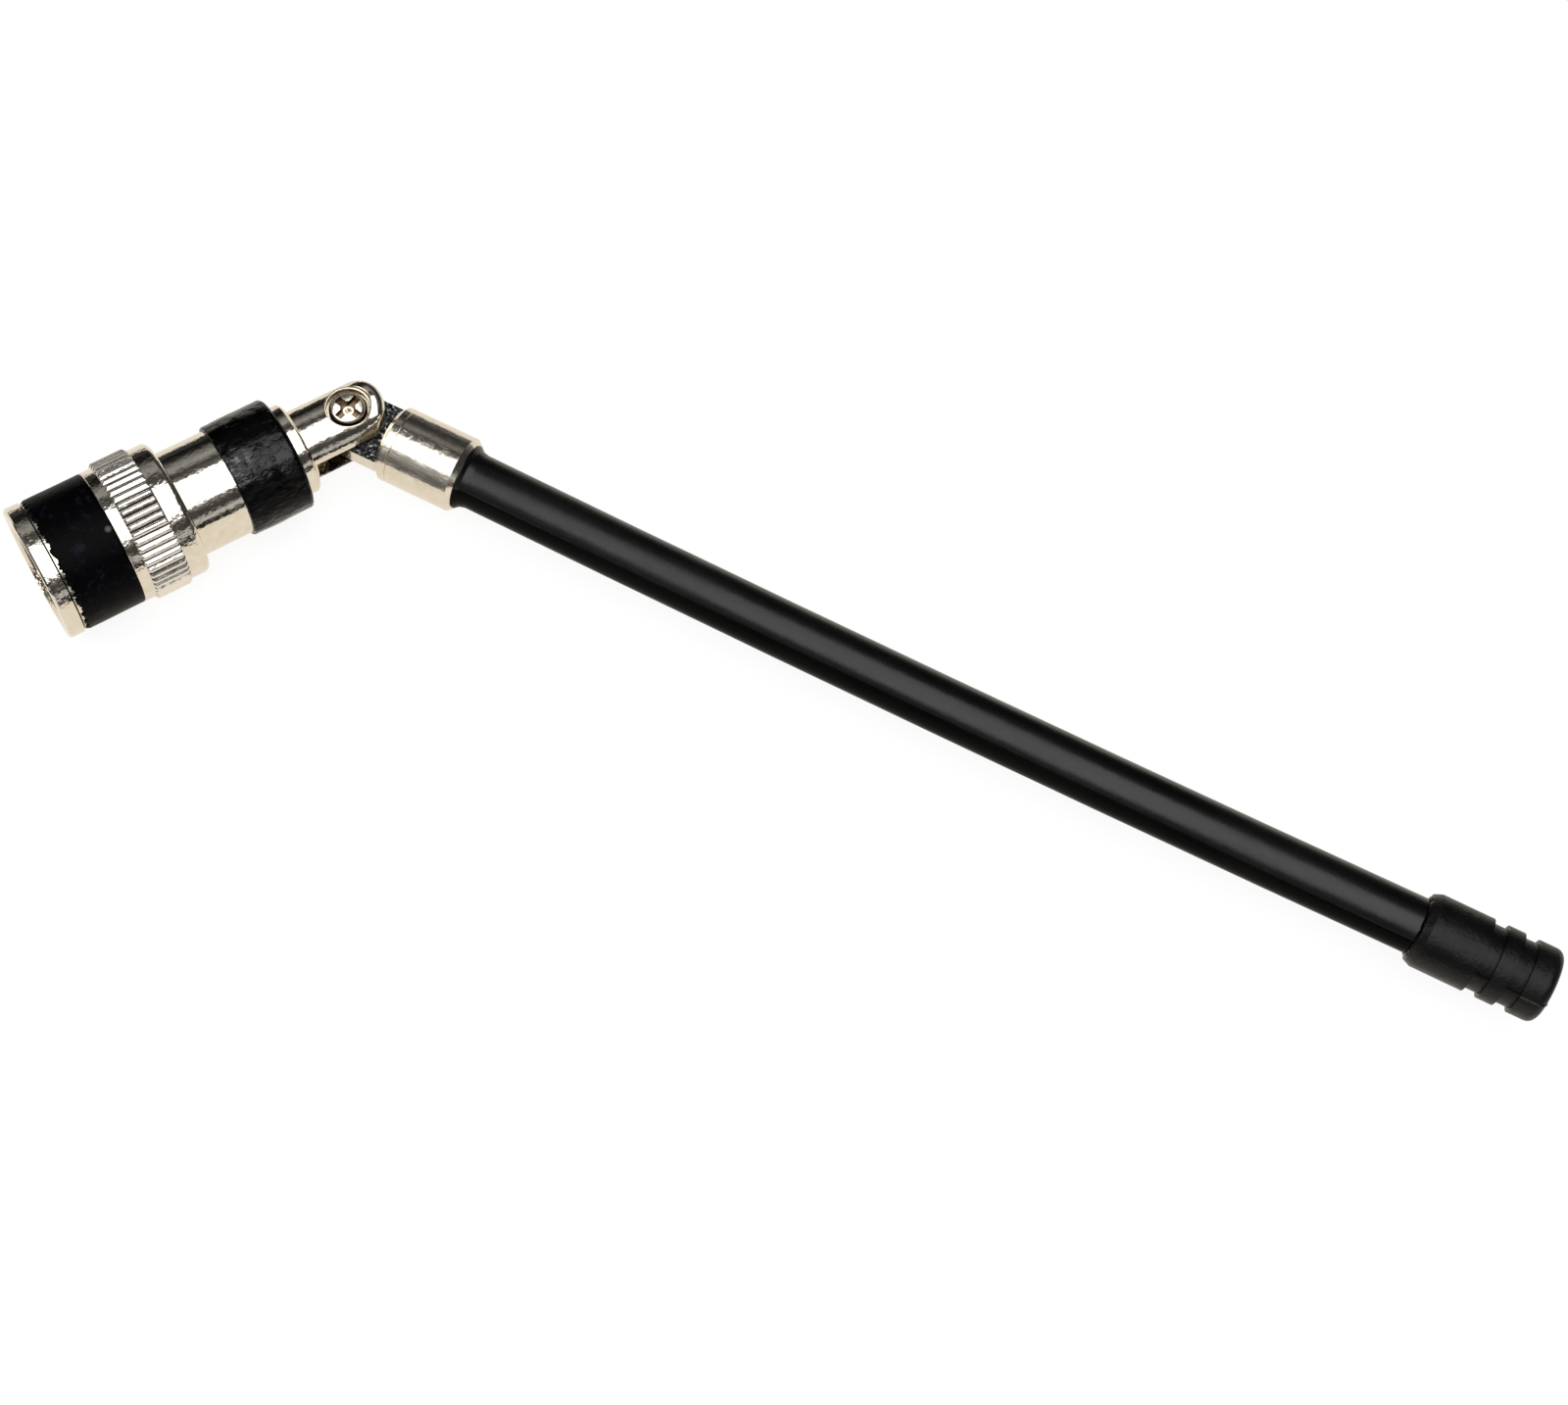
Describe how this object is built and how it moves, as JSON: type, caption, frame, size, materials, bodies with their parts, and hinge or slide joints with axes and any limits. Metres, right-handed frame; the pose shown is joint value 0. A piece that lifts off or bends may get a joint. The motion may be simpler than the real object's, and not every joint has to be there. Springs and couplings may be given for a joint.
{
  "type": "whip antenna",
  "caption": "Folding whip antenna on a bayonet coaxial plug: knurled coupling nut, fork-and-tongue hinge with a cross-recess screw, rubber-covered whip and grooved tip cap.",
  "frame": {"origin": "centre of the plug's mouth, in the plane of the coupling nut's front rim", "axes": "+X runs along the plug from its mouth to the hinge; +Z is the hinge screw's axis, from the far prong to the screw's head; the whip is folded from +X toward -Y"},
  "size_m": [0.1052, 0.1176, 0.0144],
  "materials": {
    "nickel": "bright nickel plate on brass",
    "black_band": "satin black",
    "gasket_rubber": "matte",
    "white_insulator": "smooth white",
    "gold_contact": "gold plate on brass",
    "steel": "plain spring steel",
    "black_gloss": "glossy black",
    "black_plastic": "plain black",
    "whip_rubber": "satin black rubber",
    "cap_rubber": "matte black moulding"
  },
  "bodies": {
    "plug": {"plug_body": "nickel", "outer_contact": "nickel", "mouth_gasket": "gasket_rubber", "front_insulator": "white_insulator", "centre_pin": "gold_contact", "stem_lead": "gold_contact", "spring_washer": "steel", "insulating_sleeve": "black_gloss", "rear_bush": "black_plastic", "hinge_fork": "nickel", "screw_cup": "nickel", "hinge_screw": "nickel", "friction_washer_upper": "steel", "friction_washer_lower": "steel"},
    "nut_carrier": {"thrust_washer": "gold_contact"},
    "nut": {"coupling_nut": "nickel", "nut_band": "black_band"},
    "whip": {"whip_ferrule": "nickel", "whip_core": "steel", "whip_sheath": "whip_rubber", "tip_cap": "cap_rubber", "cap_adhesive": "black_gloss"}
  },
  "joints": [
    {"name": "nut_slide", "type": "slide", "parent": "plug", "child": "nut_carrier", "axis": [1, 0, 0], "range_m": [-0.0007, 0], "stiffness_N_per_m": 4000, "springref_m": 0.0005, "deforming": ["spring_washer"]},
    {"name": "nut_turn", "type": "hinge", "parent": "nut_carrier", "child": "nut", "pos_m": [0.0076, 0, 0], "axis": [1, 0, 0], "continuous": true},
    {"name": "whip_fold", "type": "hinge", "parent": "plug", "child": "whip", "pos_m": [0.03394, 0, 0], "axis": [0, 0, 1], "range_deg": [-32.2, 147.8]}
  ]
}
